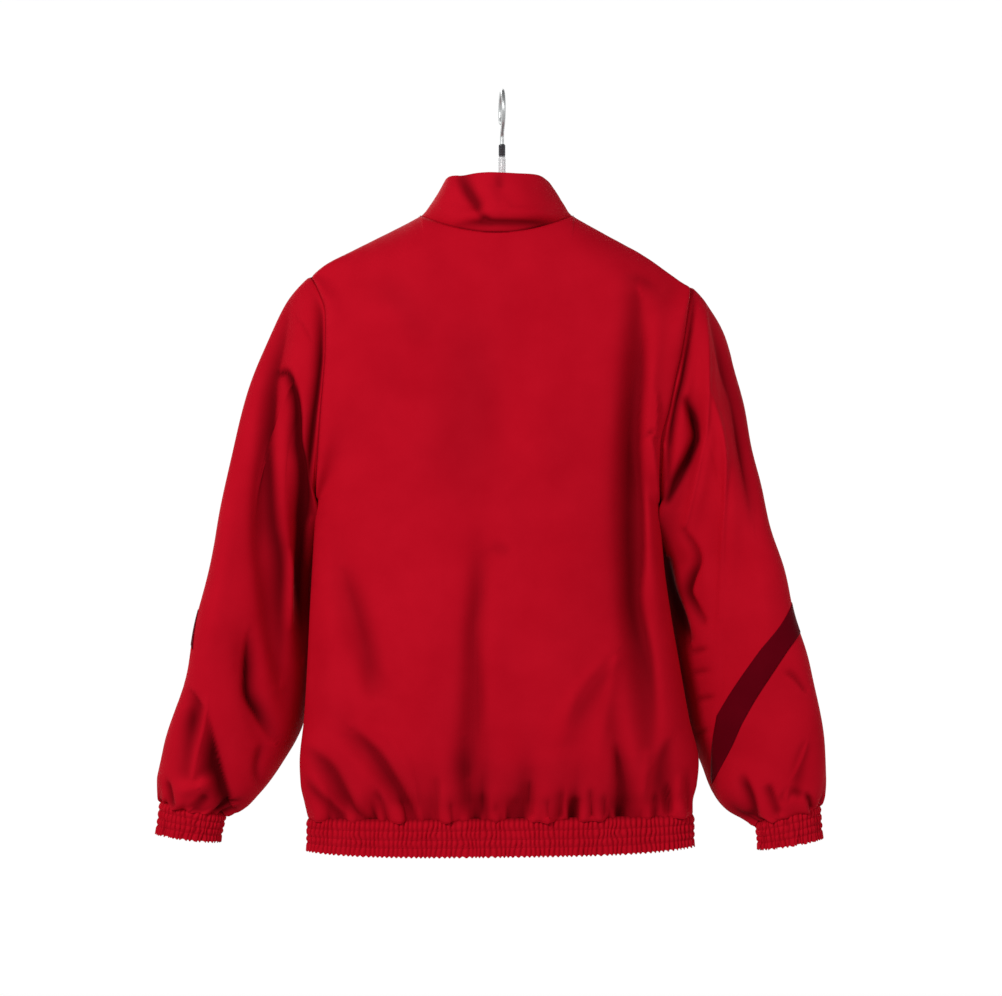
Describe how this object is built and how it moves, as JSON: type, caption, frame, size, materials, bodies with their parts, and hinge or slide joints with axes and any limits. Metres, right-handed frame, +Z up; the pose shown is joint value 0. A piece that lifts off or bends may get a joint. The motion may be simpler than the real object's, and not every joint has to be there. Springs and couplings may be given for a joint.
{
  "type": "track jacket on a clothes hanger",
  "caption": "Woven zip-front track jacket with a stand collar, gathered hem and gathered cuffs, hanging on a clothes hanger with a wire hook.",
  "frame": {"origin": "where a rail bears under the top bend of the hanger's hook", "axes": "+Z up, +Y out of the jacket's back, +X towards the wearer's left sleeve"},
  "size_m": [0.7541, 0.1632, 0.8556],
  "materials": {
    "red_cloth": "smooth woven nylon or polyester with a soft sheen",
    "dark_red_cloth": "the same cloth in dark red",
    "zip_metal": "dark, satin",
    "hanger_plastic": "clear to milky, glossy",
    "ferrule_metal": "dark grey, satin",
    "hook_metal": "bright plated wire"
  },
  "bodies": {
    "jacket": {"back": "red_cloth", "collar": "red_cloth", "cuff_left": "red_cloth", "cuff_right": "red_cloth", "front_left": "red_cloth", "front_right": "red_cloth", "hanger": "hanger_plastic", "hanger_ferrule": "ferrule_metal", "hanger_hook": "hook_metal", "sleeve_band_left": "dark_red_cloth", "sleeve_band_right": "dark_red_cloth", "sleeve_top_left": "red_cloth", "sleeve_top_right": "red_cloth", "sleeve_under_left": "red_cloth", "sleeve_under_right": "red_cloth", "waistband": "red_cloth", "zip_box": "zip_metal", "zip_chain": "zip_metal", "zip_slider": "zip_metal", "zip_tape_left": "red_cloth", "zip_tape_right": "red_cloth"},
    "pull_tab": {"zip_pull": "zip_metal"}
  },
  "joints": [
    {"name": "pull_swing", "type": "hinge", "parent": "jacket", "child": "pull_tab", "pos_m": [0.006, -0.0644, -0.15986], "axis": [-1, 0, 0], "range_deg": [0, 150]}
  ]
}
